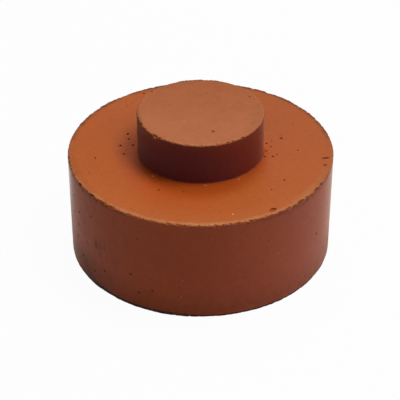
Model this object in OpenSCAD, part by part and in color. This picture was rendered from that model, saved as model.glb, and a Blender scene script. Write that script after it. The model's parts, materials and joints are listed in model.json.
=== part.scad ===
// Round clay brick: a moulded and fired disc with a locating spigot on its top face.
// It is one piece, turned about Z, and its origin is the centre of the underside.

/* [Disc] */
// Diameter of the disc
disc_d = 122; // [90:1:180]
// Height of the disc, from the underside to the shoulder round the spigot
disc_h = 50; // [25:1:100]

/* [Spigot] */
// Diameter of the spigot
spigot_d = 58; // [30:0.5:80]
// Height of the spigot above the shoulder
spigot_h = 20; // [8:0.5:40]

/* [Edges] */
// Radius of the disc's lower edge
base_edge_r = 1; // [0.4:0.1:3]
// Radius of the disc's upper edge
shoulder_edge_r = 1.2; // [0.4:0.1:3]
// Radius of the fillet where the spigot meets the shoulder
root_fillet_r = 1; // [0.4:0.1:3]
// Radius of the spigot's upper edge
spigot_edge_r = 0.7; // [0.4:0.1:3]

/* [Hidden] */
disc_r = disc_d / 2;
spigot_r = spigot_d / 2;
$fn = 96;

// Half section of the disc, from the axis out, with both outer corners rounded
module disc_section() {
    upper_y = disc_h - shoulder_edge_r;
    translate([0, base_edge_r]) square([disc_r, upper_y - base_edge_r]);
    square([disc_r - base_edge_r, upper_y]);
    translate([disc_r - base_edge_r, base_edge_r]) circle(base_edge_r);
    translate([0, base_edge_r]) square([disc_r - shoulder_edge_r, disc_h - base_edge_r]);
    translate([disc_r - shoulder_edge_r, upper_y]) circle(shoulder_edge_r);
}

// Half section of the spigot, standing in the disc, with its upper corner rounded
module spigot_section() {
    top_y = disc_h + spigot_h;
    square([spigot_r, top_y - spigot_edge_r]);
    square([spigot_r - spigot_edge_r, top_y]);
    translate([spigot_r - spigot_edge_r, top_y - spigot_edge_r]) circle(spigot_edge_r);
}

// Concave corner that fills in between the spigot's wall and the shoulder
module root_fillet_section() {
    translate([spigot_r, disc_h])
        difference() {
            square(root_fillet_r);
            translate([root_fillet_r, root_fillet_r]) circle(root_fillet_r);
        }
}

module clay_brick() {
    color([0.66, 0.36, 0.20])
        rotate_extrude()
            union() {
                disc_section();
                spigot_section();
                root_fillet_section();
            }
}

clay_brick();
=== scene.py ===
"""Round clay brick with a spigot: fired skin, worn arrises, pinholes and chips, in a plain white studio.

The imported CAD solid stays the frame. One closed piece stands for it here: the same section turned about Z,
with arrises whose radius wanders as wear does, and with pinholes and chips cut out as real hollows.
"""

import json
import logging
import math
from dataclasses import dataclass, field
from enum import Enum

import bmesh
import bpy
import numpy as np
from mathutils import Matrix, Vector


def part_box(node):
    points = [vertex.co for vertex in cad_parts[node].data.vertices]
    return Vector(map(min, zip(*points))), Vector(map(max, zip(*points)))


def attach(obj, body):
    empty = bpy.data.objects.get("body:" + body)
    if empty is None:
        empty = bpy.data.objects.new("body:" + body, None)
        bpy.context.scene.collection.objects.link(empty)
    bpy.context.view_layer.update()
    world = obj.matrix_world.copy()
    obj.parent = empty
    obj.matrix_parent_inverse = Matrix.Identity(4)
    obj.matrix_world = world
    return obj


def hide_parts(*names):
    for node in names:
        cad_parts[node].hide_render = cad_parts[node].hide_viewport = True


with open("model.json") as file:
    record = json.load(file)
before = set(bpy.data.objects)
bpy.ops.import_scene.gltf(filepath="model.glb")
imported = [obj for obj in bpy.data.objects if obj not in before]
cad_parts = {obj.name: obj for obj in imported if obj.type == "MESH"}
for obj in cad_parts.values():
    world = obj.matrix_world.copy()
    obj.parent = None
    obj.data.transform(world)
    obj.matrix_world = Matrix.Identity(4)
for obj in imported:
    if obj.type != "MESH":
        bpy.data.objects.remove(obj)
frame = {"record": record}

LOG = logging.getLogger("clay_brick")
MM = 0.001
TAU = 2.0 * math.pi
# Sockets of Blender's Mix node when it mixes colours
MIX_SHARE, MIX_UNDER, MIX_OVER, MIX_COLOUR = 0, 6, 7, 2
# What the brick's points are graded by, painted light and shade among them, and what its cut faces are marked
# with
GRADES = ("painted_light", "painted_bounce_shade", "wall", "flank", "side", "bloom", "burnish_and_painted_sheen", "painted_sheen_strip",
          "rubbed", "shade_and_dirt", "soot", "scuff")
CUTS = ("pore", "chip", "grog")
# Most values of Blender's noise lie between these two
NOISE_LOW, NOISE_HIGH = 0.3, 0.7


def hex_linear(code: str) -> tuple[float, float, float, float]:
    """Turn an sRGB hex colour into linear RGBA, by the sRGB curve.

    Args:
        code: colour such as "#B15216".

    Returns:
        Linear red, green, blue and an alpha of 1.
    """
    channels = [int(code[i:i + 2], 16) / 255.0 for i in (1, 3, 5)]
    linear = [c / 12.92 if c <= 0.04045 else ((c + 0.055) / 1.055) ** 2.4 for c in channels]
    return (linear[0], linear[1], linear[2], 1.0)


def per_metre(size_mm: float) -> float:
    """Give a texture scale whose features are about size_mm across on Object coordinates in metres."""
    return 1.0 / (size_mm * MM)


def add_node(tree: bpy.types.NodeTree, kind: str, inputs: dict[str | int, object] | None = None,
             **settings: object) -> bpy.types.Node:
    """Add one node, set its properties and fill its inputs.

    Args:
        tree: node tree that gets the node.
        kind: Blender's name for the node type.
        inputs: input name or index to a value, or to an output socket that is linked to it.
        settings: properties of the node itself.

    Returns:
        The new node.
    """
    node = tree.nodes.new(kind)
    for name, value in settings.items():
        setattr(node, name, value)
    for key, value in (inputs or {}).items():
        if isinstance(value, bpy.types.NodeSocket):
            tree.links.new(value, node.inputs[key])
        else:
            node.inputs[key].default_value = value
    return node


def mesh_object(name: str, points: np.ndarray, faces: list[np.ndarray]) -> bpy.types.Object:
    """Make a mesh object from points in mm and arrays of faces, at the origin and in metres.

    Args:
        name: name of the object and its mesh.
        points: array of shape (n, 3), in mm.
        faces: arrays of vertex numbers, one row per face.

    Returns:
        The linked object.
    """
    mesh = bpy.data.meshes.new(name)
    rows = [row for block in faces for row in block.tolist()]
    mesh.from_pydata((points * MM).tolist(), [], rows)
    mesh.update()
    body = bpy.data.objects.new(name, mesh)
    bpy.context.scene.collection.objects.link(body)
    return body


def ease(low: float, high: float, values: np.ndarray) -> np.ndarray:
    """Rise smoothly from 0 at low to 1 at high, by 3t2 - 2t3 of the clipped share t."""
    share = np.clip((values - low) / (high - low), 0.0, 1.0)
    return share * share * (3.0 - 2.0 * share)


def ripple(angles: np.ndarray, waves: tuple[int, int], count: int, seed: int) -> np.ndarray:
    """Give a closed wandering curve round the brick, with a spread of about 1.

    It is a sum of cosines of whole numbers of waves per turn, each with its own phase, so it joins up.

    Args:
        angles: places round the axis, in radians.
        waves: fewest and most waves per turn.
        count: how many cosines are added.
        seed: seed of the draw.

    Returns:
        One value per angle.
    """
    draw = np.random.default_rng(seed)
    turns = draw.integers(waves[0], waves[1], count)
    phases = draw.uniform(0.0, TAU, count)
    total = np.cos(np.multiply.outer(angles, turns) + phases).sum(axis=-1)
    return total * math.sqrt(2.0 / count)


def rock(points: np.ndarray, size_mm: float, count: int, seed: int) -> np.ndarray:
    """Give a wandering field in space, with a spread of about 1.

    It is a sum of cosines along random directions, with wavelengths from 0.7 to 1.6 times size_mm.

    Args:
        points: array of shape (..., 3), in mm.
        size_mm: middle wavelength.
        count: how many cosines are added.
        seed: seed of the draw.

    Returns:
        One value per point.
    """
    draw = np.random.default_rng(seed)
    heading = draw.normal(size=(count, 3))
    heading /= np.linalg.norm(heading, axis=1, keepdims=True)
    wave = TAU / (size_mm * draw.uniform(0.7, 1.6, count))
    phases = draw.uniform(0.0, TAU, count)
    total = np.cos(points @ (heading * wave[:, None]).T + phases).sum(axis=-1)
    return total * math.sqrt(2.0 / count)


def turned_skin(rings: list[np.ndarray], low: np.ndarray,
                high: np.ndarray) -> tuple[np.ndarray, list[np.ndarray]]:
    """Join rings of points, from the underside out, up and in to the top's centre, into a closed skin.

    Neighbours with as many points are joined by quads. Where one has twice as many, each edge of the coarser
    ring gets three triangles, so that the mesh is fine at the arrises and coarse on the flats.

    Args:
        rings: arrays of shape (n, 3), in mm.
        low: centre of the underside.
        high: centre of the top.

    Returns:
        All points, and the arrays of faces, which point outwards.
    """
    points = np.vstack([low[None, :], *rings, high[None, :]])
    starts = np.cumsum([1] + [len(ring) for ring in rings])
    faces: list[np.ndarray] = []
    first = np.arange(len(rings[0]))
    after = (first + 1) % len(first)
    faces.append(np.stack([np.zeros_like(first), 1 + after, 1 + first], axis=1))
    for k in range(len(rings) - 1):
        n, m = len(rings[k]), len(rings[k + 1])
        here, there = starts[k], starts[k + 1]
        i = np.arange(min(n, m))
        j = (i + 1) % min(n, m)
        if n == m:
            faces.append(np.stack([here + i, here + j, there + j, there + i], axis=1))
        elif m == 2 * n:
            left, mid, right = there + 2 * i, there + 2 * i + 1, there + 2 * j
            faces.append(np.stack([here + i, mid, left], axis=1))
            faces.append(np.stack([here + i, here + j, mid], axis=1))
            faces.append(np.stack([here + j, right, mid], axis=1))
        else:
            left, mid, right = here + 2 * i, here + 2 * i + 1, here + 2 * j
            faces.append(np.stack([left, mid, there + i], axis=1))
            faces.append(np.stack([mid, there + j, there + i], axis=1))
            faces.append(np.stack([mid, right, there + j], axis=1))
    last = np.arange(len(rings[-1]))
    after = (last + 1) % len(last)
    top = starts[-2] + last
    faces.append(np.stack([top, starts[-2] + after, np.full_like(last, len(points) - 1)], axis=1))
    return points, faces


class Zone(Enum):
    """Face or edge of the brick that a mark lies on."""

    TOP = "top of the spigot"
    SHOULDER = "flat ring round the spigot"
    WALL = "outer wall of the disc"
    SPIGOT_WALL = "wall of the spigot"
    RIM = "upper arris of the disc"
    SPIGOT_RIM = "upper arris of the spigot"
    BASE_RIM = "lower arris of the disc"


ARRISES = (Zone.RIM, Zone.SPIGOT_RIM, Zone.BASE_RIM)
# Least clear skin between two hollows, in mm
MARK_GAP = 0.25


@dataclass(frozen=True)
class Mark:
    """One hollow in the clay: a pinhole, a chip, a drag groove or the dimple of a grain.

    The angle runs in degrees round the axis from +X, so the photographed front is at 270. The place is a
    radius on the flats and a height on the walls, in mm, and isn't used on an arris. Along is its side that
    runs round the brick, across the other side, and depth how far it goes in, all in mm. The turn leans both
    sides, in degrees.
    """

    zone: Zone
    angle: float
    place: float
    along: float
    across: float
    depth: float
    turn: float = 0.0

    @property
    def reach(self) -> float:
        """Half of the longest side of the hollow, in mm."""
        return max(self.along, self.across) / 2.0


@dataclass(frozen=True)
class Break:
    """What breaks up a cover: values of a pattern from low to high give shares from bottom to top."""

    by: str
    low: float
    high: float
    bottom: float
    top: float


@dataclass(frozen=True)
class Cover:
    """Where a layer lies: a grade times its breaks. One that names no grade lies all over."""

    grade: str
    breaks: tuple[Break, ...] = ()


@dataclass(frozen=True)
class Layer:
    """One layer of a finish: its colour, and its covers, which are added up.

    A layer with a second colour runs from the first to the second as its guide, a pattern or a grade, rises
    from 0 to 1.
    """

    colour: str
    covers: tuple[Cover, ...]
    second: str = ""
    guide: str = ""


@dataclass(frozen=True)
class MouldedFiredClay:
    """Brick clay, pressed in a smooth mould and fired without a glaze.

    The mould leaves a close, even skin with a faint sheen, so the eye gets a warm matt orange with soft
    clouds from the kiln, pale rubbed arrises, brown pinholes and a thin dusty bloom on the struck-off top.
    Part of the colour is painted light: a lighter front left, a paler sheen on the wall's sides, and shade
    in the pinholes and chips, on the spigot's wall and round its foot, at the arrises and at the foot.
    """

    skin_low: str = "#AA531E"
    skin_high: str = "#C25B0F"
    # Painted bounce light and shade round the spigot's foot
    painted_bounce_shade: str = "#BC4D0C"
    wall_low: str = "#A14013"
    # Greyer wall colour on the right: a painted reflection
    wall_painted_sheen: str = "#A04A2F"
    # The spigot's wall is painted shade, with a redder copy where more light falls on it
    flank_shade_dark: str = "#642F33"
    flank_shade_lit: str = "#742008"
    bloom_low: str = "#AA5D33"
    bloom_high: str = "#C0744B"
    # Paler painted sheen on the wall's sides and hidden half
    painted_sheen: str = "#C69A76"
    rubbed: str = "#CC8654"
    # Pinholes are darker: painted shade in them
    hollow: str = "#782C06"
    # Chip faces: the broken clay's own colour, darkened as painted shade
    broken: str = "#984006"
    grog: str = "#DCAA84"
    # Dark brown of the stains, and of the painted shade at the arrises, the spigot and the foot
    shade_and_dirt: str = "#2C1206"
    roughness: float = 0.55
    rough_spread: float = 0.06
    specular: float = 0.22
    index: float = 1.5
    sheen: float = 0.35
    sheen_roughness: float = 0.3
    sheen_tint: str = "#FFCFA8"
    # Clouds are the kiln's, blotches and mottle the clay's; grit of about 0.2 mm is drawn coarser, to show
    cloud_mm: float = 26.0
    blotch_mm: float = 6.0
    mottle_mm: float = 2.6
    grain_mm: float = 0.8
    streak_mm: float = 1.7
    streak_stretch: float = 4.0
    spot_gap_mm: float = 8.0
    noise_roughness: float = 0.55
    relief_mm: float = 0.12
    relief_strength: float = 0.5
    relief_grain: float = 0.5
    # Shares of the tone: mostly painted light from the front left, then the kiln's clouds and the clay's
    # mottle
    tone_painted_light: float = 0.7
    tone_cloud: float = 0.2
    tone_mottle: float = 0.1
    # What each grade adds to the roughness: open and dirty skin and the painted shade rougher, burnished skin
    # and the strip of painted reflection closer
    matt: tuple[tuple[str, float], ...] = (
        ("bloom", 0.12), ("flank", 0.16), ("soot", 0.04), ("shade_and_dirt", 0.2), ("burnish_and_painted_sheen", -0.25), ("painted_sheen_strip", -0.2))

    def layers(self) -> list[Layer]:
        """Give the layers over the plain skin, from the lowest to the uppermost.

        Returns:
            What the fire left with the painted light, bounce and shade, then the painted sheen, broken clay,
            stains with painted shade, rubbed arrises, grog and hollows.
        """
        painted_sheen = (
            Cover("burnish_and_painted_sheen", (Break("drift", 0.7, 1.3, 0.15, 0.32),)),
            Cover("painted_sheen_strip", (Break("mottle", 0.3, 0.65, 0.1, 0.3),)))
        stains_and_shade = (
            Cover("shade_and_dirt", (Break("mottle", 0.3, 0.7, 0.55, 1.05),)),
            Cover("soot", (Break("blotch", 0.4, 0.8, 0.0, 0.5),)),
            Cover("soot", (Break("spot", 0.03, 0.17, 0.75, 0.0), Break("pick", 0.45, 0.7, 0.0, 1.0))),
            Cover("scuff", (Break("streak", 0.42, 0.66, 0.0, 0.4),)),
            Cover("", (Break("grain", 0.4, 0.75, 0.0, 0.06),)),
            Cover("", (Break("mottle", 0.45, 0.8, 0.0, 0.1),)))
        unbroken = Break("chip", 0.0, 1.0, 1.0, 0.0)
        return [
            Layer(self.painted_bounce_shade, (Cover("painted_bounce_shade", (Break("blotch", 0.3, 0.7, 0.7, 1.0),)),)),
            Layer(self.wall_low, (Cover("wall", (Break("cloud", 0.3, 0.7, 0.85, 1.0),)),),
                  self.wall_painted_sheen, "side"),
            Layer(self.flank_shade_dark, (Cover("flank"),), self.flank_shade_lit, "side"),
            # The bloom follows the tone, so it carries the painted light too
            Layer(self.bloom_low, (Cover("bloom", (Break("mottle", 0.25, 0.7, 0.7, 1.0),)),),
                  self.bloom_high, "tone"),
            Layer(self.painted_sheen, painted_sheen),
            Layer(self.broken, (Cover("", (Break("chip", 0.0, 1.0, 0.0, 0.85),)),)),
            Layer(self.shade_and_dirt, stains_and_shade),
            Layer(self.rubbed, (Cover("rubbed", (Break("blotch", 0.3, 0.6, 0.45, 1.0), unbroken)),)),
            Layer(self.grog, (Cover("grog", (Break("wall", 0.0, 1.0, 0.6, 0.22),)),)),
            # Painted shade in the pinholes, lighter on the walls
            Layer(self.hollow, (Cover("pore", (Break("wall", 0.0, 1.0, 0.8, 0.55),)),)),
        ]

    def patterns(self, tree: bpy.types.NodeTree) -> dict[str, bpy.types.NodeSocket]:
        """Add the noises, the cells of the soot spots, the piece's own grades and the tone of the skin.

        Args:
            tree: node tree of the material.

        Returns:
            Each pattern's and grade's socket by its name.
        """
        place = add_node(tree, "ShaderNodeTexCoord").outputs["Object"]
        drawn = add_node(tree, "ShaderNodeMapping", {
            "Vector": place, "Scale": (1.0, 1.0, 1.0 / self.streak_stretch)}).outputs["Vector"]
        found: dict[str, bpy.types.NodeSocket] = {}
        for name, size_mm, detail, at in (
                ("cloud", self.cloud_mm, 2.0, place),
                ("blotch", self.blotch_mm, 4.0, place),
                ("mottle", self.mottle_mm, 3.0, place),
                ("grain", self.grain_mm, 2.0, place),
                ("streak", self.streak_mm, 2.0, drawn)):
            noise = add_node(tree, "ShaderNodeTexNoise", {
                "Vector": at, "Scale": per_metre(size_mm), "Detail": detail,
                "Roughness": self.noise_roughness})
            found[name] = noise.outputs["Fac"]
        cells = add_node(tree, "ShaderNodeTexVoronoi", {
            "Vector": place, "Scale": per_metre(self.spot_gap_mm), "Randomness": 1.0}, feature="F1")
        found["spot"] = cells.outputs["Distance"]
        found["pick"] = cells.outputs["Color"]
        for name in GRADES + CUTS:
            found[name] = add_node(tree, "ShaderNodeAttribute", attribute_name=name).outputs["Fac"]
        found["drift"] = add_node(tree, "ShaderNodeMath", {0: found["cloud"], 1: found["blotch"]},
                                  operation="ADD").outputs[0]
        tone = add_node(tree, "ShaderNodeMath", {0: found["painted_light"], 1: self.tone_painted_light},
                        operation="MULTIPLY").outputs[0]
        for name, share in (("cloud", self.tone_cloud), ("mottle", self.tone_mottle)):
            part = add_node(tree, "ShaderNodeMapRange", {
                "Value": found[name], "From Min": NOISE_LOW, "From Max": NOISE_HIGH,
                "To Max": share}).outputs["Result"]
            tone = add_node(tree, "ShaderNodeMath", {0: tone, 1: part}, operation="ADD").outputs[0]
        found["tone"] = tone
        return found

    def lay(self, tree: bpy.types.NodeTree, found: dict[str, bpy.types.NodeSocket], layer: Layer,
            under: bpy.types.NodeSocket) -> bpy.types.NodeSocket:
        """Lay one layer over a colour, by the sum of its covers.

        Args:
            tree: node tree of the material.
            found: sockets of the patterns and grades.
            layer: the layer.
            under: the colour below it.

        Returns:
            The colour with the layer on it.
        """
        total = None
        for cover in layer.covers:
            share = found.get(cover.grade)
            for part in cover.breaks:
                shown = add_node(tree, "ShaderNodeMapRange", {
                    "Value": found[part.by], "From Min": part.low, "From Max": part.high,
                    "To Min": part.bottom, "To Max": part.top}).outputs["Result"]
                if share is not None:
                    shown = add_node(tree, "ShaderNodeMath", {0: share, 1: shown},
                                     operation="MULTIPLY").outputs[0]
                share = shown
            if total is not None:
                share = add_node(tree, "ShaderNodeMath", {0: total, 1: share}, operation="ADD").outputs[0]
            total = share
        over = hex_linear(layer.colour)
        if layer.second:
            over = add_node(tree, "ShaderNodeMix", {
                MIX_SHARE: found[layer.guide], MIX_UNDER: over, MIX_OVER: hex_linear(layer.second)},
                data_type="RGBA").outputs[MIX_COLOUR]
        return add_node(tree, "ShaderNodeMix", {MIX_SHARE: total, MIX_UNDER: under, MIX_OVER: over},
                        data_type="RGBA").outputs[MIX_COLOUR]

    def build(self) -> bpy.types.Material:
        """Make the node material: the skin's tone, the layers over it, its roughness and its fine relief.

        Returns:
            The finished material.
        """
        material = bpy.data.materials.new("moulded_fired_clay")
        material.use_nodes = True
        tree = material.node_tree
        tree.nodes.clear()
        found = self.patterns(tree)
        colour = add_node(tree, "ShaderNodeMix", {
            MIX_SHARE: found["tone"], MIX_UNDER: hex_linear(self.skin_low),
            MIX_OVER: hex_linear(self.skin_high)}, data_type="RGBA").outputs[MIX_COLOUR]
        for layer in self.layers():
            colour = self.lay(tree, found, layer, colour)
        rough = add_node(tree, "ShaderNodeMapRange", {
            "Value": found["grain"], "From Min": NOISE_LOW, "From Max": NOISE_HIGH,
            "To Min": self.roughness - self.rough_spread,
            "To Max": self.roughness + self.rough_spread}).outputs["Result"]
        for name, more in self.matt:
            rough = add_node(tree, "ShaderNodeMath", {0: found[name], 1: more, 2: rough},
                             operation="MULTIPLY_ADD").outputs[0]
        relief = add_node(tree, "ShaderNodeMath", {
            0: found["grain"], 1: self.relief_grain, 2: found["mottle"]}, operation="MULTIPLY_ADD").outputs[0]
        bump = add_node(tree, "ShaderNodeBump", {
            "Strength": self.relief_strength, "Distance": self.relief_mm * MM, "Height": relief})
        shader = add_node(tree, "ShaderNodeBsdfPrincipled", {
            "Base Color": colour, "Roughness": rough, "Normal": bump.outputs["Normal"],
            "Specular IOR Level": self.specular, "IOR": self.index, "Sheen Weight": self.sheen,
            "Sheen Roughness": self.sheen_roughness, "Sheen Tint": hex_linear(self.sheen_tint)})
        add_node(tree, "ShaderNodeOutputMaterial", {"Surface": shader.outputs["BSDF"]})
        return material


@dataclass(frozen=True)
class Spots:
    """Where points of the brick lie: radius and height in mm, and the angle round the axis in degrees."""

    radius: np.ndarray
    height: np.ndarray
    angle: np.ndarray

    @classmethod
    def of(cls, mesh: bpy.types.Mesh) -> "Spots":
        """Read where the points of a mesh lie.

        Args:
            mesh: mesh in metres, with its axis on Z.

        Returns:
            The places of its points, in order.
        """
        flat = np.empty(len(mesh.vertices) * 3, np.float32)
        mesh.vertices.foreach_get("co", flat)
        x, y, z = flat.reshape(-1, 3).astype(float).T / MM
        return cls(np.hypot(x, y), z, np.degrees(np.arctan2(y, x)))

    def near(self, edge_r: float, edge_h: float, core: float, reach: float) -> np.ndarray:
        """Fall from 1 within the core of a circle round the axis to 0 at the reach from it, in mm."""
        return 1.0 - ease(core, reach, np.hypot(self.radius - edge_r, self.height - edge_h))

    def around(self, middle: float, width: float) -> np.ndarray:
        """Rise to 1 at one side of the brick, by a bell exp(-(away / width)^2) in degrees."""
        away = (self.angle - middle + 180.0) % 360.0 - 180.0
        return np.exp(-((away / width) ** 2))

    def patchy(self) -> np.ndarray:
        """Give a share from 0 to 1 that comes and goes round the brick."""
        return ease(-1.2, 1.2, ripple(np.radians(self.angle), waves=(20, 160), count=30, seed=41))


@dataclass
class ClayBrick:
    """The whole brick: a disc with a coaxial spigot, one piece of fired clay.

    Sizes are in mm. Angles are in degrees round the axis, as on a mark: 0 is the photograph's right, 180 its
    left and 270 its front. The places, widths and strengths of the grades were set against it.
    """

    disc_r: float
    disc_h: float
    spigot_r: float
    top_h: float
    base_edge: float = 0.45
    rim_edge: float = 0.5
    root_fillet: float = 0.3
    spigot_edge: float = 0.5
    front_wear: float = 0.9
    handled_side: float = 250.0
    coarse: int = 360
    sharp_from: float = 38.0
    finish: MouldedFiredClay = field(default_factory=MouldedFiredClay)

    def worn_edge(self, zone: Zone, angles: np.ndarray) -> np.ndarray:
        """Give an arris's radius round the brick: its mean, larger where handled, times a wandering factor.

        The factor is 1 plus a slow and a quick ripple, kept between 0.4 and 2.

        Args:
            zone: which arris.
            angles: places round the axis, in radians.

        Returns:
            One radius per angle, in mm.
        """
        mean, wear, nick, seed = {
            Zone.BASE_RIM: (self.base_edge, 0.0, 0.16, 11),
            Zone.RIM: (self.rim_edge, self.front_wear, 0.25, 23),
            Zone.SPIGOT_RIM: (self.spigot_edge, self.front_wear, 0.18, 37),
        }[zone]
        front = self.handled(angles)
        slow = ripple(angles, waves=(4, 34), count=16, seed=seed)
        quick = ripple(angles, waves=(36, 150), count=30, seed=seed + 1)
        return mean * (1.0 + wear * front) * np.clip(1.0 + 0.28 * slow + nick * quick, 0.4, 2.0)

    def handled(self, angles: np.ndarray) -> np.ndarray:
        """Give how far each side was handled: a broad bell from 1 at the front left to 0 at the back."""
        return (0.5 + 0.5 * np.cos(angles - math.radians(self.handled_side))) ** 2

    def angles(self, count: int) -> np.ndarray:
        """Give that many even places round the axis, in radians."""
        return np.arange(count) * (TAU / count)

    def ring(self, radius: np.ndarray | float, height: np.ndarray | float, count: int) -> np.ndarray:
        """Give a ring of points: radius times (cos, sin) of the angle, at the height.

        Args:
            radius: one radius, or one per angle.
            height: one height, or one per angle.
            count: how many points.

        Returns:
            Array of shape (count, 3).
        """
        turn = self.angles(count)
        flat = np.zeros(count)
        return np.stack([radius * np.cos(turn), radius * np.sin(turn), flat + height], axis=1)

    def arc_rings(self, centre_r: np.ndarray, centre_h: np.ndarray, edge: np.ndarray, start: float,
                  end: float, steps: int, chew: np.ndarray | float, seed: int) -> list[np.ndarray]:
        """Carry a corner arc round the brick, chewed a little by wear.

        A point of the arc is its centre plus the edge radius times (cos, sin) of an angle from start to end,
        drawn in by a rough field of about 1.5 mm that fades out at both ends of the arc.

        Args:
            centre_r: radius of the arc's centre, per angle.
            centre_h: height of the arc's centre, per angle.
            edge: radius of the arc, per angle.
            start: first angle of the arc in degrees, with 0 outwards and 90 up.
            end: last angle of the arc in degrees.
            steps: number of spans.
            chew: how deep the rough field bites, in mm, everywhere or per angle.
            seed: seed of the field.

        Returns:
            The rings, in order from start to end.
        """
        count = len(edge)
        rings = []
        for k in range(steps + 1):
            turn = math.radians(start + (end - start) * k / steps)
            plain = self.ring(centre_r + edge * math.cos(turn), centre_h + edge * math.sin(turn), count)
            field_here = rock(plain, size_mm=1.5, count=40, seed=seed)
            bite = np.clip(0.35 + field_here, 0.0, 2.0) * chew * math.sin(math.pi * k / steps)
            worn = edge - bite
            rings.append(self.ring(centre_r + worn * math.cos(turn), centre_h + worn * math.sin(turn), count))
        return rings

    def disc_rings(self) -> list[np.ndarray]:
        """Give the rings of the disc's half section: along the underside, up the wall and in to the spigot.

        Returns:
            The rings, crowded and fine at the arrises, and wide and coarse on the flats and the wall.
        """
        n, fine, finest = self.coarse, 2 * self.coarse, 4 * self.coarse
        base = self.worn_edge(Zone.BASE_RIM, self.angles(fine))
        rim = self.worn_edge(Zone.RIM, self.angles(finest))
        rim_chew = 0.1 + 0.14 * self.handled(self.angles(finest))
        # Underside
        rings = [self.ring(r, 0.0, n) for r in (20.0, 40.0, 54.0, 58.0)]
        rings.append(self.ring(self.disc_r - base - 0.4, 0.0, fine))
        # Lower arris
        rings += self.arc_rings(self.disc_r - base, base, base, start=-90.0, end=0.0, steps=7,
                                chew=0.06, seed=5)
        # Wall
        rings += [self.ring(self.disc_r, base + gap, fine) for gap in (0.4, 0.9)]
        rings.append(self.ring(self.disc_r, 2.1, n))
        rings += [self.ring(self.disc_r, h, n) for h in np.linspace(3.2, self.disc_h - 4.0, 22)]
        rings.append(self.ring(self.disc_r, self.disc_h - 2.6, fine))
        rings.append(self.ring(self.disc_r, self.disc_h - rim - 0.3, finest))
        # Upper arris
        rings += self.arc_rings(self.disc_r - rim, self.disc_h - rim, rim, start=0.0, end=90.0, steps=11,
                                chew=rim_chew, seed=6)
        # Shoulder
        rings.append(self.ring(self.disc_r - rim - 0.3, self.disc_h, finest))
        rings.append(self.ring(self.disc_r - 2.8, self.disc_h, fine))
        rings += [self.ring(r, self.disc_h, n)
                  for r in np.linspace(self.disc_r - 4.5, self.spigot_r + 3.0, 10)]
        return rings

    def spigot_rings(self) -> list[np.ndarray]:
        """Give the rings of the spigot's half section: in to its root, up its wall and in along its top.

        Returns:
            The rings, fine at the arris, and coarser towards the centre of the top.
        """
        n, fine = self.coarse, 2 * self.coarse
        knob = self.worn_edge(Zone.SPIGOT_RIM, self.angles(fine))
        # Root and its fillet
        rings = [self.ring(self.spigot_r + gap, self.disc_h, n) for gap in (1.8, 1.1, 0.7)]
        for turn in np.linspace(0.0, math.pi / 2.0, 6):
            radius = self.spigot_r + self.root_fillet - self.root_fillet * math.sin(turn)
            height = self.disc_h + self.root_fillet - self.root_fillet * math.cos(turn)
            rings.append(self.ring(radius, height, n))
        # Wall
        rings += [self.ring(self.spigot_r, self.disc_h + gap, n) for gap in (0.8, 1.4)]
        rings += [self.ring(self.spigot_r, h, n) for h in np.linspace(self.disc_h + 3.0, self.top_h - 2.2, 7)]
        rings.append(self.ring(self.spigot_r, self.top_h - knob - 0.25, fine))
        # Upper arris
        rings += self.arc_rings(self.spigot_r - knob, self.top_h - knob, knob, start=0.0, end=90.0, steps=9,
                                chew=0.1, seed=7)
        # Top
        rings.append(self.ring(self.spigot_r - knob - 0.25, self.top_h, fine))
        rings += [self.ring(self.spigot_r - gap, self.top_h, n) for gap in (2.0, 7.0, 13.0)]
        rings.append(self.ring(self.spigot_r - 20.0, self.top_h, n // 2))
        rings.append(self.ring(self.spigot_r - 25.0, self.top_h, n // 4))
        return rings

    def stand(self, mark: Mark) -> tuple[np.ndarray, np.ndarray]:
        """Find where a mark sits and how it is turned.

        Args:
            mark: the hollow.

        Returns:
            The point on the surface, and a matrix whose columns run round the brick, across and outwards.
        """
        turn = math.radians(mark.angle)
        outward = np.array([math.cos(turn), math.sin(turn), 0.0])
        round_it = np.array([-math.sin(turn), math.cos(turn), 0.0])
        up = np.array([0.0, 0.0, 1.0])
        corner = 0.0
        if mark.zone in ARRISES:
            corner = (1.0 - math.sqrt(0.5)) * float(self.worn_edge(mark.zone, np.array([turn]))[0])
        radius, height, normal = {
            Zone.TOP: (mark.place, self.top_h, up),
            Zone.SHOULDER: (mark.place, self.disc_h, up),
            Zone.WALL: (self.disc_r, mark.place, outward),
            Zone.SPIGOT_WALL: (self.spigot_r, mark.place, outward),
            Zone.RIM: (self.disc_r - corner, self.disc_h - corner, (outward + up) / math.sqrt(2.0)),
            Zone.SPIGOT_RIM: (self.spigot_r - corner, self.top_h - corner, (outward + up) / math.sqrt(2.0)),
            Zone.BASE_RIM: (self.disc_r - corner, corner, (outward - up) / math.sqrt(2.0)),
        }[mark.zone]
        lean = math.radians(mark.turn)
        across = np.cross(normal, round_it)
        first = math.cos(lean) * round_it + math.sin(lean) * across
        second = np.cross(normal, first)
        return radius * outward + height * up, np.stack([first, second, normal], axis=1)

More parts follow.
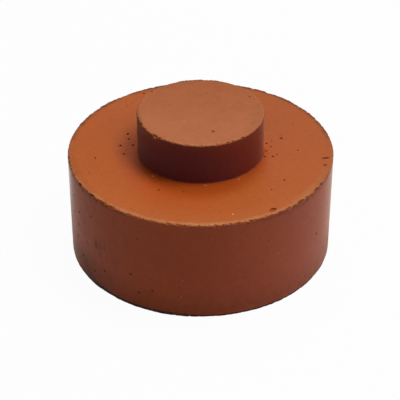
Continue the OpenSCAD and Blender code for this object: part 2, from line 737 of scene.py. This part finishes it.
    def lumps(self, marks: list[Mark], around: int, down: int, rough: float,
              seed: int) -> tuple[np.ndarray, list[np.ndarray]]:
        """Make one closed lump for each mark, to be cut out of the brick.

        A lump is an ellipsoid: (cos u sin v, sin u sin v, cos v) on a grid of u and v, with its radius pushed
        in and out by a rough field, scaled to the mark's half sides and depth and set down on its place.

        Args:
            marks: the hollows.
            around: steps of u.
            down: spans of v.
            rough: how far the radius is pushed, as a share.
            seed: seed of the rough field.

        Returns:
            All points, and the arrays of faces.
        """
        u, v = np.meshgrid(self.angles(around), np.linspace(0.0, math.pi, down + 1)[1:-1])
        ball = np.stack([np.cos(u) * np.sin(v), np.sin(u) * np.sin(v), np.cos(v)], axis=-1).reshape(-1, 3)
        ball = np.vstack([ball, [[0.0, 0.0, 1.0], [0.0, 0.0, -1.0]]])
        stands = [self.stand(mark) for mark in marks]
        seats = np.array([seat for seat, _ in stands])
        axes = np.array([axis for _, axis in stands])
        sides = np.array([[mark.along / 2.0, mark.across / 2.0, mark.depth] for mark in marks])
        # Each lump reads the rough field at a place of its own
        apart = 7.0 * np.arange(len(marks))[:, None, None]
        push = 1.0 + rough * rock(ball[None, :, :] + apart, size_mm=1.9, count=24, seed=seed)
        local = ball[None, :, :] * push[:, :, None] * sides[:, None, :]
        points = (np.einsum("kij,knj->kni", axes, local) + seats[:, None, :]).reshape(-1, 3)
        i, j = np.meshgrid(np.arange(around), np.arange(down - 2))
        one, two = (j * around + i).ravel(), (j * around + (i + 1) % around).ravel()
        quads = np.stack([one, one + around, two + around, two], axis=1)
        k = np.arange(around)
        nxt = (k + 1) % around
        north, south = around * (down - 1), around * (down - 1) + 1
        low = around * (down - 2)
        caps = np.vstack([np.stack([np.full(around, north), k, nxt], axis=1),
                          np.stack([np.full(around, south), low + nxt, low + k], axis=1)])
        step = len(ball) * np.arange(len(marks))[:, None, None]
        return points, [(quads[None] + step).reshape(-1, 4), (caps[None] + step).reshape(-1, 3)]

    def scatter(self, kept: list[Mark], zone: Zone, count: int, places: tuple[float, float],
                sizes: tuple[float, float], seed: int) -> list[Mark]:
        """Draw more marks of a zone at random, clear of each other and of those that are kept.

        Args:
            kept: marks that are there already.
            zone: face or arris that gets the new ones.
            count: how many are tried.
            places: lowest and highest radius or height, not used on an arris.
            sizes: smallest and largest length, in mm; most are near the smallest.
            seed: seed of the draw.

        Returns:
            The kept marks and the new ones.
        """
        draw = np.random.default_rng(seed)
        marks = list(kept)
        seats = [self.stand(mark)[0] for mark in marks]
        on_edge = zone in ARRISES
        for angle, share, size, shape, lean in zip(
                draw.uniform(0.0, 360.0, count), draw.uniform(0.0, 1.0, count),
                sizes[0] + (sizes[1] - sizes[0]) * draw.uniform(0.0, 1.0, count) ** 2.5,
                draw.uniform(0.55, 1.0, count), draw.uniform(-40.0, 40.0, count)):
            place = math.sqrt(places[0] ** 2 + share * (places[1] ** 2 - places[0] ** 2))
            if zone in (Zone.WALL, Zone.SPIGOT_WALL):
                place = places[0] + share * (places[1] - places[0])
            # A chip is shallow for its length, and a pinhole half as deep as it is long
            depth = 0.13 * size + 0.12 if on_edge else 0.5 * size
            mark = Mark(zone, angle, place, size, size * shape, depth, lean / 4.0 if on_edge else lean)
            seat = self.stand(mark)[0]
            gaps = [np.linalg.norm(seat - other) - mark.reach - old.reach for old, other in zip(marks, seats)]
            if min(gaps, default=1.0) > MARK_GAP:
                marks.append(mark)
                seats.append(seat)
        return marks

    def pinholes(self) -> list[Mark]:
        """Give the pinholes and drag grooves: those that the photograph shows, then a fine scatter all over.

        Returns:
            The marks.
        """
        ring, wall, top = Zone.SHOULDER, Zone.WALL, Zone.TOP
        seen = [
            Mark(ring, 159.5, 36.3, 1.5, 1.4, 0.8), Mark(ring, 166, 34.4, 1.3, 1.2, 0.7),
            Mark(ring, 176, 37.1, 1.5, 1.4, 0.8), Mark(ring, 174.5, 31.3, 1.4, 1.4, 0.7),
            Mark(ring, 187.5, 35.4, 1.4, 1.2, 0.5), Mark(ring, 189.5, 48.6, 1.9, 0.8, 0.4),
            Mark(ring, 150, 50, 0.7, 0.6, 0.3), Mark(ring, 133, 52, 0.7, 0.8, 0.4),
            Mark(ring, 129, 52.5, 0.7, 0.6, 0.4), Mark(ring, 202, 54, 0.7, 0.6, 0.3),
            Mark(ring, 119, 57.3, 1.3, 1.2, 0.8), Mark(ring, 114.5, 57.3, 1.2, 1.2, 0.8),
            Mark(ring, 241.5, 38.6, 1.3, 1.0, 0.4), Mark(ring, 13.5, 38.5, 1.5, 1.4, 0.8),
            Mark(ring, 3, 32.3, 1.2, 1.1, 0.5), Mark(ring, 348.5, 33.7, 1.4, 1.3, 0.45),
            Mark(ring, 351.5, 35.3, 0.9, 1.0, 0.35), Mark(ring, 11, 33.5, 0.6, 0.6, 0.3),
            Mark(ring, 8.5, 30.9, 1.4, 1.2, 0.7), Mark(ring, 356, 30.2, 1.1, 1.1, 0.6),
            Mark(ring, 347, 30.1, 1.2, 1.1, 0.6), Mark(ring, 258, 36, 0.9, 0.7, 0.4),
            Mark(ring, 325, 45.4, 1.4, 1.3, 0.3), Mark(ring, 358, 44.7, 0.8, 0.8, 0.4),
            Mark(ring, 26.5, 48.7, 0.8, 0.7, 0.4), Mark(ring, 313, 45.8, 0.7, 1.1, 0.5),
            Mark(ring, 346, 58.0, 1.8, 1.5, 0.6), Mark(ring, 352, 57.6, 1.3, 3.6, 0.8, 18.0),
            Mark(top, 288, 18.1, 1.4, 1.6, 0.3), Mark(top, 30, 26.0, 0.8, 0.9, 0.4),
            Mark(wall, 239.5, 17.7, 1.2, 1.6, 0.4), Mark(wall, 249.5, 12, 1.3, 1.4, 0.4),
            Mark(wall, 243.5, 9, 1.5, 1.2, 0.35), Mark(wall, 225, 12.5, 1.1, 1.6, 0.4),
            Mark(wall, 206.5, 33.4, 1.6, 1.5, 0.25), Mark(wall, 205, 25.8, 1.4, 1.7, 0.28),
            Mark(wall, 208, 10.5, 1.5, 1.6, 0.4), Mark(wall, 329, 24.4, 1.3, 1.3, 0.25),
            Mark(wall, 345.5, 9.5, 1.2, 1.3, 0.4), Mark(wall, 217, 37.5, 1.2, 1.4, 0.35),
            Mark(wall, 200, 38, 1.3, 1.5, 0.3), Mark(wall, 199, 29, 1.2, 1.6, 0.3),
            Mark(wall, 211, 31, 1.1, 1.0, 0.25), Mark(wall, 203, 18, 1.4, 1.3, 0.3),
            Mark(wall, 212, 20.5, 1.0, 1.3, 0.25), Mark(wall, 218, 8, 1.2, 1.1, 0.3),
            Mark(wall, 341, 33.5, 1.0, 1.0, 0.3), Mark(wall, 336, 27, 0.8, 0.8, 0.25),
            # The last three are shallow upright grooves where the mould dragged
            Mark(wall, 220, 24, 1.0, 5.0, 0.22), Mark(wall, 222, 25, 0.7, 5.0, 0.16),
            Mark(wall, 225.5, 25, 0.6, 3.5, 0.12),
        ]
        marks = self.scatter(seen, ring, count=70, places=(31.0, 58.5), sizes=(0.25, 0.6), seed=101)
        marks = self.scatter(marks, wall, count=90, places=(3.0, 46.0), sizes=(0.25, 0.85), seed=102)
        marks = self.scatter(marks, top, count=22, places=(0.0, 27.0), sizes=(0.25, 0.6), seed=103)
        return self.scatter(marks, Zone.SPIGOT_WALL, count=18, places=(53.0, 67.0),
                            sizes=(0.25, 0.6), seed=104)

    def chips(self) -> list[Mark]:
        """Give the chips of the three arrises: those that the photograph shows, then smaller ones all round.

        Returns:
            The marks.
        """
        ring, rim, knob = Zone.SHOULDER, Zone.RIM, Zone.SPIGOT_RIM
        seen = [
            Mark(ring, 302.4, 58.2, 4.0, 2.6, 0.8), Mark(rim, 316, 0, 4.4, 1.6, 0.5),
            Mark(rim, 291, 0, 2.4, 1.2, 0.4), Mark(rim, 327, 0, 3.2, 1.4, 0.5),
            Mark(rim, 331.5, 0, 2.0, 1.2, 0.45), Mark(rim, 309, 0, 1.6, 1.0, 0.4),
            Mark(rim, 209, 0, 3.4, 1.6, 0.6), Mark(rim, 214.5, 0, 1.8, 1.2, 0.5),
            Mark(rim, 218.5, 0, 3.0, 1.3, 0.5), Mark(rim, 226, 0, 1.6, 1.0, 0.45),
            Mark(rim, 230, 0, 2.8, 1.2, 0.45), Mark(rim, 57, 0, 4.0, 1.8, 0.7),
            Mark(knob, 225.5, 0, 3.2, 1.5, 0.6), Mark(knob, 231, 0, 1.4, 1.0, 0.5),
            Mark(knob, 295, 0, 2.0, 1.0, 0.4), Mark(knob, 299.5, 0, 1.4, 0.9, 0.35),
            Mark(knob, 310, 0, 2.2, 1.0, 0.4), Mark(knob, 202, 0, 2.4, 1.2, 0.5),
            Mark(knob, 192, 0, 1.6, 1.1, 0.5),
        ]
        no_place = (0.0, 0.0)
        marks = self.scatter(seen, rim, count=60, places=no_place, sizes=(0.6, 2.4), seed=201)
        marks = self.scatter(marks, knob, count=20, places=no_place, sizes=(0.4, 1.2), seed=202)
        return self.scatter(marks, Zone.BASE_RIM, count=24, places=no_place, sizes=(0.5, 1.6), seed=203)

    def inclusions(self) -> list[Mark]:
        """Give the pale grains of grog, which are shallow dimples: those seen, then a thin scatter.

        Returns:
            The marks.
        """
        ring, wall, top = Zone.SHOULDER, Zone.WALL, Zone.TOP
        seen = [
            Mark(top, 231, 11.6, 1.0, 0.9, 0.12), Mark(top, 58, 6.3, 0.9, 0.8, 0.12),
            Mark(ring, 227, 31.2, 1.6, 0.9, 0.12), Mark(ring, 304, 30.4, 1.4, 0.8, 0.12),
            Mark(ring, 274.5, 30.3, 1.2, 0.7, 0.12),
            Mark(ring, 285, 54.1, 0.8, 1.5, 0.12), Mark(wall, 322, 35.6, 1.0, 1.1, 0.12),
            Mark(wall, 304, 27.6, 0.9, 0.9, 0.12), Mark(wall, 262.5, 20, 0.8, 0.8, 0.12),
            Mark(wall, 262, 11, 0.7, 0.8, 0.12), Mark(wall, 285.5, 27.2, 0.8, 0.7, 0.12),
            Mark(wall, 275, 42.4, 0.7, 1.0, 0.12), Mark(Zone.SPIGOT_WALL, 226, 69.0, 2.2, 0.9, 0.25),
        ]
        marks = self.scatter(seen, ring, count=10, places=(31.0, 58.0), sizes=(0.35, 0.7), seed=401)
        marks = self.scatter(marks, wall, count=34, places=(3.0, 46.0), sizes=(0.35, 0.8), seed=402)
        return self.scatter(marks, top, count=8, places=(0.0, 26.0), sizes=(0.3, 0.6), seed=403)

    def cut(self, body: bpy.types.Object, lumps: tuple[np.ndarray, list[np.ndarray]], name: str) -> None:
        """Cut lumps out of the brick and mark the faces that they leave.

        Args:
            body: the brick.
            lumps: points and faces of the lumps.
            name: face attribute that is 1 on what the lumps leave.
        """
        cutter = mesh_object(name + "_cutter", *lumps)
        for thing, value in ((body, 0.0), (cutter, 1.0)):
            made = thing.data.attributes.new(name, "FLOAT", "FACE")
            made.data.foreach_set("value", np.full(len(thing.data.polygons), value, np.float32))
        step = body.modifiers.new(name, "BOOLEAN")
        step.operation = "DIFFERENCE"
        step.solver = "MANIFOLD"
        step.object = cutter
        done = body.evaluated_get(bpy.context.evaluated_depsgraph_get())
        mesh = bpy.data.meshes.new_from_object(done)
        body.modifiers.clear()
        old = body.data
        body.data = mesh
        mesh.name = body.name
        bpy.data.meshes.remove(old)
        bpy.data.objects.remove(cutter)

    def drop_crumbs(self, body: bpy.types.Object) -> None:
        """Take away loose crumbs that the cuts left, so that one closed skin stays.

        Each vertex takes the lowest number among its neighbours until nothing changes, which numbers the
        pieces, and all but the largest piece go.

        Args:
            body: the brick.
        """
        mesh = body.data
        ends = np.empty(len(mesh.edges) * 2, np.int32)
        mesh.edges.foreach_get("vertices", ends)
        one, two = ends.reshape(-1, 2).T
        label = np.arange(len(mesh.vertices))
        while np.any(label[one] != label[two]):
            low = np.minimum(label[one], label[two])
            np.minimum.at(label, label[one], low)
            np.minimum.at(label, label[two], low)
            label = label[label]
        crumbs = np.flatnonzero(label != np.bincount(label).argmax())
        work = bmesh.new()
        work.from_mesh(mesh)
        work.verts.ensure_lookup_table()
        bmesh.ops.delete(work, geom=[work.verts[i] for i in crumbs], context="VERTS")
        work.to_mesh(mesh)
        work.free()

    def faces(self, at: Spots) -> tuple[np.ndarray, np.ndarray, np.ndarray]:
        """Tell the three faces that take a finish of their own from the rest.

        Args:
            at: the points.

        Returns:
            How far each point is on the disc's wall, the spigot's wall and the spigot's top, from 0 to 1.
        """
        below = 1.0 - ease(self.disc_h - 0.6, self.disc_h - 0.15, at.height)
        wall = ease(self.disc_r - 0.6, self.disc_r - 0.12, at.radius) * below
        above = ease(self.disc_h + 0.1, self.disc_h + 0.5, at.height)
        flank = ease(self.spigot_r - 0.4, self.spigot_r - 0.1, at.radius) * above
        top = ease(self.top_h - 0.3, self.top_h - 0.08, at.height)
        return wall, flank, top

    def fired(self, at: Spots) -> dict[str, np.ndarray]:
        """Grade what the mould and the fire left.

        Painted light makes the tone lighter towards the front left, and a deeper red round the spigot's foot
        is painted bounce light and shade. Wall and flank are the disc's and the spigot's upright faces; the
        flank's own colour is painted shade, and side paints light on both: a greyer right of the wall, and
        redder lit ends and upper part of the flank. Bloom is the dusty top. The wall's hidden half has a
        closer skin with a paler painted sheen, and a strip high on its far left a painted reflection on still
        closer skin.

        Args:
            at: the points.

        Returns:
            The grades by name.
        """
        wall, flank, top = self.faces(at)
        turn = np.radians(at.angle)
        toward = -np.sin(turn)
        rise = at.height - self.disc_h
        # Side paints light: the wall greyer at its right, a painted reflection, and the flank redder at its
        # lit ends and top
        lift = (0.5 + 0.4 * at.around(210.0, 18.0)) * ease(7.0, 19.5, rise)
        side = np.clip(at.around(345.0, 60.0) + flank * (at.around(187.0, 12.0) + lift), 0.0, 1.0)
        # The flank's painted shade thins on the back right, where the lamps fall
        far_right = (1.0 - ease(0.0, 0.5, toward)) * ease(-8.0, 20.0, at.radius * np.cos(turn))
        # Painted light: the skin is lighter towards the front left and darker towards the back right, evening
        # out near the axis
        lit_side = 228.0 + 30.0 * top
        painted_light = 0.5 + 0.5 * np.cos(np.radians(at.angle - lit_side)) * np.minimum(1.0, at.radius / 22.0)
        # Painted bounce light and shade: a deeper red round the spigot's foot, widest at the front, a little
        # at the left
        bounce_shade_reach = 3.0 + 18.0 * at.around(252.0, 44.0) + 5.0 * at.around(185.0, 40.0)
        painted_bounce_shade = (1.0 - ease(0.3, 1.15, (at.radius - self.spigot_r) / bounce_shade_reach)) * (1.0 - top)
        # The wall's hidden half: a closer skin and a paler painted sheen, most of it high up
        hidden = 1.0 - ease(0.08, 0.52, toward)
        return {
            "painted_light": painted_light,
            "painted_bounce_shade": painted_bounce_shade,
            "wall": wall,
            "flank": flank * (1.0 - 0.35 * far_right * ease(3.0, 12.0, rise)),
            "side": side,
            "bloom": top,
            "burnish_and_painted_sheen": wall * hidden * (0.45 + 0.55 * ease(6.0, 34.0, at.height)),
            # A painted reflection: a paler strip high on the wall's far left, on closer skin
            "painted_sheen_strip": wall * at.around(188.0, 8.0) * ease(24.0, 42.0, at.height),
        }

    def rim_drop(self, at: Spots) -> np.ndarray:
        """Give how far below the shoulder each point lies, in mm, with a wander from the arris down.

        Args:
            at: the points.

        Returns:
            The drop of each point.
        """
        fall = self.disc_h - at.height
        wander = 0.3 * ripple(np.radians(at.angle), waves=(14, 110), count=40, seed=43)
        return fall + wander * ease(0.02, 0.3, fall)

    def rubbed(self, at: Spots) -> np.ndarray:
        """Grade where hands rubbed the skin pale on the upper side of the arrises and just inside the rim,
        and a faint paler front on the flat ring inside the rim.

        Args:
            at: the points.

        Returns:
            The grade of each point.
        """
        flank = self.faces(at)[1]
        drop = self.rim_drop(at)
        front = at.around(265.0, 60.0)
        rim = at.near(self.disc_r - 0.9, self.disc_h, 0.5, 1.4) * (1.0 - ease(0.25, 0.7, drop))
        right_rim = at.near(self.disc_r - 1.4, self.disc_h, 0.9, 2.8) * (1.0 - ease(0.3, 0.8, drop))
        outer_ring = (at.height > self.disc_h - 1.0) * ease(self.disc_r - 13.0, self.disc_r - 3.0, at.radius)
        knob_rim = at.near(self.spigot_r - 0.4, self.top_h, 0.25, 1.0)
        knob_wall = flank * ease(self.top_h - 6.0, self.top_h - 1.0, at.height)
        return np.maximum.reduce([
            rim * (0.1 + 0.85 * front),
            0.36 * right_rim * at.around(327.0, 20.0),
            # A faint paler front on the flat ring inside the rim
            0.14 * outer_ring * front,
            knob_rim * (0.15 + 0.5 * at.around(268.0, 45.0)),
            0.13 * knob_wall * (0.3 + at.around(208.0, 20.0))])

    def rim_shade_and_dirt(self, at: Spots) -> np.ndarray:
        """Grade the darkening at the disc's upper arris: painted shade under it and along its far edge, and
        dirt with painted shade on it at both sides.

        Args:
            at: the points.

        Returns:
            The grade of each point.
        """
        drop = self.rim_drop(at)
        patchy = at.patchy()
        left, right = at.around(214.0, 20.0), at.around(318.0, 26.0)
        reach = 0.9 + 1.2 * left + 2.8 * right
        depth = (0.45 + 0.38 * left + 0.12 * right) * (0.7 + 0.3 * patchy)
        arris = ease(self.disc_r - 1.2, self.disc_r - 0.5, at.radius) * (at.height > self.disc_h - 5.0)
        # Painted shade under the arris, widest at the right
        under = arris * ease(0.05, 0.5, drop) * (1.0 - ease(0.3, 1.0, drop / reach)) * depth
        # Dirt with painted shade on the arris at both sides
        sides = 0.58 * at.around(202.0, 24.0) + 0.3 * at.around(340.0, 26.0)
        on_it = at.near(self.disc_r - 0.6, self.disc_h - 0.3, 0.7, 3.0) * sides * (0.6 + 0.4 * patchy)
        # Painted shade: a dark line along the far edge
        back = ease(-6.0, 20.0, at.radius * np.sin(np.radians(at.angle)))
        far = back * at.near(self.disc_r, self.disc_h, 0.75, 1.35) * (0.74 + 0.24 * patchy)
        return np.maximum.reduce([under, on_it, far])

    def knob_shade(self, at: Spots) -> np.ndarray:
        """Grade the painted shade of the spigot: along its upper arris, on the left of its wall and in its
        root, and its painted shadow on the shoulder at its left.

        Args:
            at: the points.

        Returns:
            The grade of each point.
        """
        flank = self.faces(at)[1]
        patchy = at.patchy()
        # Painted shade: dark lines along the top's far and left edges, and a soft shade at its sides
        far_edge = at.near(self.spigot_r, self.top_h, 0.45, 1.0) * at.around(92.0, 34.0)
        left_edge = at.near(self.spigot_r, self.top_h - 0.1, 0.5, 1.5) * at.around(196.0, 18.0)
        sides = at.around(345.0, 38.0) + at.around(120.0, 24.0)
        side_edges = at.near(self.spigot_r, self.top_h, 0.8, 3.6) * sides
        # Painted shade in the root, and the spigot's painted shadow on the shoulder at its left
        front_root = at.near(self.spigot_r, self.disc_h, 0.5, 3.2) * at.around(288.0, 46.0)
        left_root = at.near(self.spigot_r, self.disc_h, 1.0, 11.0) * at.around(174.0, 18.0)
        return np.maximum.reduce([
            far_edge * (0.6 + 0.4 * patchy),
            left_edge * (0.3 + 0.7 * patchy),
            0.16 * side_edges,
            0.45 * flank * at.around(187.0, 13.0),
            0.5 * at.near(self.spigot_r, self.disc_h, 0.15, 0.7),
            0.16 * front_root,
            0.24 * left_root])

    def foot_shade(self, at: Spots) -> np.ndarray:
        """Grade the darkening low on the wall: a painted contact shadow at the foot, darker towards the
        bottom above it, and painted shade deeper at both sides.

        Args:
            at: the points.

        Returns:
            The grade of each point.
        """
        wall = self.faces(at)[0]
        # Painted contact shadow: a dark line at the foot, highest at the front left
        reach = 1.3 + 0.8 * at.around(235.0, 45.0) + 1.1 * at.around(221.0, 9.0)
        line = 1.3 * (1.0 - ease(0.45, 1.0, at.height / reach))
        shade = np.maximum.reduce([
            # Darker towards the bottom
            0.24 * (1.0 - ease(2.0, 16.0, at.height)),
            # Painted shade low at the left and right
            0.62 * at.around(211.0, 16.0) * (1.0 - ease(4.0, 22.0, at.height)),
            0.5 * at.around(346.0, 14.0) * (1.0 - ease(4.0, 20.0, at.height))])
        return np.maximum(line, wall * shade)

    def smoked(self, at: Spots) -> np.ndarray:
        """Grade the kiln's smoke: on the wall, most at the left, and a trace on the top.

        Args:
            at: the points.

        Returns:
            The grade of each point.
        """
        wall, _, top = self.faces(at)
        on_wall = wall * (0.18 + 0.5 * at.around(208.0, 22.0))
        on_top = top * (0.15 + 0.2 * at.around(30.0, 60.0))
        return np.maximum(on_wall, on_top)

    def scuffed(self, at: Spots) -> np.ndarray:
        """Grade the upright drag marks that the mould left halfway up the front left of the wall."""
        halfway = 1.0 - ease(2.0, 6.5, np.abs(at.height - self.disc_h / 2.0))
        return self.faces(at)[0] * (0.05 + 0.95 * at.around(223.0, 4.5) * halfway)

    def grade(self, mesh: bpy.types.Mesh) -> None:
        """Write what each part of the surface went through, and the painted light and shade on it, as point
        attributes.

        Args:
            mesh: the brick's mesh.
        """
        at = Spots.of(mesh)
        grades = self.fired(at)
        grades["rubbed"] = self.rubbed(at)
        # Dirt and painted shade: the darkest of the rim's, the spigot's and the foot's
        grades["shade_and_dirt"] = np.maximum.reduce([self.rim_shade_and_dirt(at), self.knob_shade(at), self.foot_shade(at)])
        grades["soot"] = self.smoked(at)
        grades["scuff"] = self.scuffed(at)
        for name in GRADES:
            made = mesh.attributes.new(name, "FLOAT", "POINT")
            made.data.foreach_set("value", grades[name].astype(np.float32))

    def build(self) -> bpy.types.Object:
        """Turn the skin, cut the hollows, grade the surface and dress it.

        Returns:
            The finished piece.
        """
        low, high = np.zeros(3), np.array([0.0, 0.0, self.top_h])
        body = mesh_object("brick_body", *turned_skin(self.disc_rings() + self.spigot_rings(), low, high))
        self.cut(body, self.lumps(self.pinholes(), around=10, down=7, rough=0.12, seed=301), "pore")
        self.cut(body, self.lumps(self.chips(), around=16, down=11, rough=0.16, seed=302), "chip")
        self.cut(body, self.lumps(self.inclusions(), around=10, down=7, rough=0.15, seed=303), "grog")
        self.drop_crumbs(body)
        mesh = body.data
        self.grade(mesh)
        mesh.shade_smooth()
        mesh.set_sharp_from_angle(angle=math.radians(self.sharp_from))
        mesh.materials.clear()
        mesh.materials.append(self.finish.build())
        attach(body, "root")
        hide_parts("clay_brick")
        return body


def seen_directly(tree: bpy.types.NodeTree) -> bpy.types.NodeSocket:
    """Give 1 for camera, glossy and transmission rays and 0 for the rest.

    Args:
        tree: node tree that gets the nodes.

    Returns:
        The socket with the value.
    """
    path = add_node(tree, "ShaderNodeLightPath").outputs
    either = add_node(tree, "ShaderNodeMath", {0: path["Is Camera Ray"], 1: path["Is Glossy Ray"]},
                      operation="MAXIMUM").outputs[0]
    return add_node(tree, "ShaderNodeMath", {0: either, 1: path["Is Transmission Ray"]},
                    operation="MAXIMUM").outputs[0]


@dataclass(frozen=True)
class MattWhitePaper:
    """Backdrop paper, rolled smooth but not glazed.

    Its fibres scatter light evenly, so the eye gets a plain white without gloss. Where it is seen, most of
    it is pure white, and the rest is its own tone, which keeps a faint shadow.
    """

    tone: str = "#E8E8E8"
    white: str = "#FFFFFF"
    lift: float = 0.965

    def build(self) -> bpy.types.Material:
        """Make the node material.

        Returns:
            The finished material.
        """
        material = bpy.data.materials.new("matt_white_paper")
        material.use_nodes = True
        tree = material.node_tree
        tree.nodes.clear()
        share = add_node(tree, "ShaderNodeMath", {0: seen_directly(tree), 1: self.lift},
                         operation="MULTIPLY").outputs[0]
        fibres = add_node(tree, "ShaderNodeBsdfDiffuse", {"Color": hex_linear(self.tone)}).outputs[0]
        glow = add_node(tree, "ShaderNodeEmission", {
            "Color": hex_linear(self.white), "Strength": 1.0}).outputs[0]
        both = add_node(tree, "ShaderNodeMixShader", {0: share, 1: fibres, 2: glow}).outputs[0]
        add_node(tree, "ShaderNodeOutputMaterial", {"Surface": both})
        return material


@dataclass(frozen=True)
class Lamp:
    """One square soft box: where it stands, how wide it is and its power in watts. Lengths are in m."""

    name: str
    place: tuple[float, float, float]
    width: float
    power: float


@dataclass
class Studio:
    """Plain white studio: a pale floor, soft boxes, a white surround and the camera."""

    floor_half: float = 6.0
    floor_spans: int = 8
    paper: MattWhitePaper = field(default_factory=MattWhitePaper)
    lamps: tuple[Lamp, ...] = (
        Lamp("lamp_right_high", (0.45, 0.0, 1.14), 0.4, 4.45),
        Lamp("lamp_back_high", (0.0, 0.53, 1.11), 0.4, 3.5),
        Lamp("lamp_front_right", (0.55, -0.32, 1.05), 0.4, 1.7),
        Lamp("lamp_top", (0.1, 0.18, 1.21), 0.4, 1.6),
        Lamp("lamp_mid_right", (1.04, 0.0, 0.63), 0.4, 1.3),
        Lamp("lamp_low_right", (1.17, -0.1, 0.28), 0.4, 1.3),
        Lamp("lamp_front_left", (-0.5, -0.5, 1.0), 0.4, 0.85),
    )
    target: tuple[float, float, float] = (-0.00026, 0.0, 0.02125)
    distance: float = 0.675
    elevation: float = 34.61
    lens: float = 128.85

    def build_floor(self) -> bpy.types.Object:
        """Make the floor: a flat grid at height 0, near white where it is seen, which keeps a faint shadow.

        Returns:
            The floor.
        """
        row = self.floor_spans + 1
        across = np.linspace(-self.floor_half, self.floor_half, row) / MM
        x, y = np.meshgrid(across, across)
        points = np.stack([x.ravel(), y.ravel(), np.zeros(x.size)], axis=1)
        i, j = np.meshgrid(np.arange(self.floor_spans), np.arange(self.floor_spans))
        one = (j * row + i).ravel()
        faces = np.stack([one, one + 1, one + row + 1, one + row], axis=1)
        floor = mesh_object("studio_floor", points, [faces])
        floor.data.materials.append(self.paper.build())
        return floor

    def build_world(self) -> None:
        """Make the surround: white where it is seen, and dark otherwise, so only the lamps give light."""
        world = bpy.data.worlds.new("white_surround")
        world.use_nodes = True
        tree = world.node_tree
        tree.nodes.clear()
        glow = add_node(tree, "ShaderNodeBackground", {
            "Color": hex_linear(self.paper.white), "Strength": seen_directly(tree)})
        add_node(tree, "ShaderNodeOutputWorld", {"Surface": glow.outputs[0]})
        bpy.context.scene.world = world

    def build_lamps(self) -> None:
        """Hang the soft boxes, each turned to the brick."""
        for lamp in self.lamps:
            light = bpy.data.lights.new(lamp.name, "AREA")
            light.size = lamp.width
            light.energy = lamp.power
            holder = bpy.data.objects.new(lamp.name, light)
            holder.location = lamp.place
            aim = Vector(self.target) - Vector(lamp.place)
            holder.rotation_euler = aim.to_track_quat("-Z", "Y").to_euler()
            bpy.context.scene.collection.objects.link(holder)

    def build_camera(self) -> None:
        """Set the camera at the photograph's angle, on a long lens."""
        lift = math.radians(self.elevation)
        back = Vector((0.0, -math.cos(lift), math.sin(lift)))
        data = bpy.data.cameras.new("camera")
        data.lens = self.lens
        data.clip_start = 0.01
        data.clip_end = 50.0
        camera = bpy.data.objects.new("camera", data)
        camera.location = Vector(self.target) + self.distance * back
        camera.rotation_euler = (-back).to_track_quat("-Z", "Y").to_euler()
        bpy.context.scene.collection.objects.link(camera)
        bpy.context.scene.camera = camera

    def build(self) -> bpy.types.Object:
        """Make the floor, the surround, the lamps and the camera, and set the plain view transform.

        Returns:
            The floor.
        """
        floor = self.build_floor()
        self.build_world()
        self.build_lamps()
        self.build_camera()
        bpy.context.scene.view_settings.view_transform = "Standard"
        return floor


def report(piece: bpy.types.Object) -> None:
    """Log a finished piece's name and how many triangles it has."""
    piece.data.calc_loop_triangles()
    LOG.info("%s: %d triangles", piece.name, len(piece.data.loop_triangles))


def main() -> None:
    """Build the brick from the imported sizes, then the studio."""
    logging.basicConfig(level=logging.INFO, format="%(message)s")
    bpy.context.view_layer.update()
    low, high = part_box("clay_brick")
    mounts = {mount["name"]: mount for mount in frame["record"]["mounts"]}
    brick = ClayBrick(
        disc_r=(high.x - low.x) / 2.0 / MM,
        disc_h=mounts["shoulder"]["pos_m"][2] / MM,
        spigot_r=mounts["spigot"]["dims"]["r_mm"],
        top_h=high.z / MM,
    )
    report(brick.build())
    report(Studio().build())


if __name__ == "__main__":
    main()
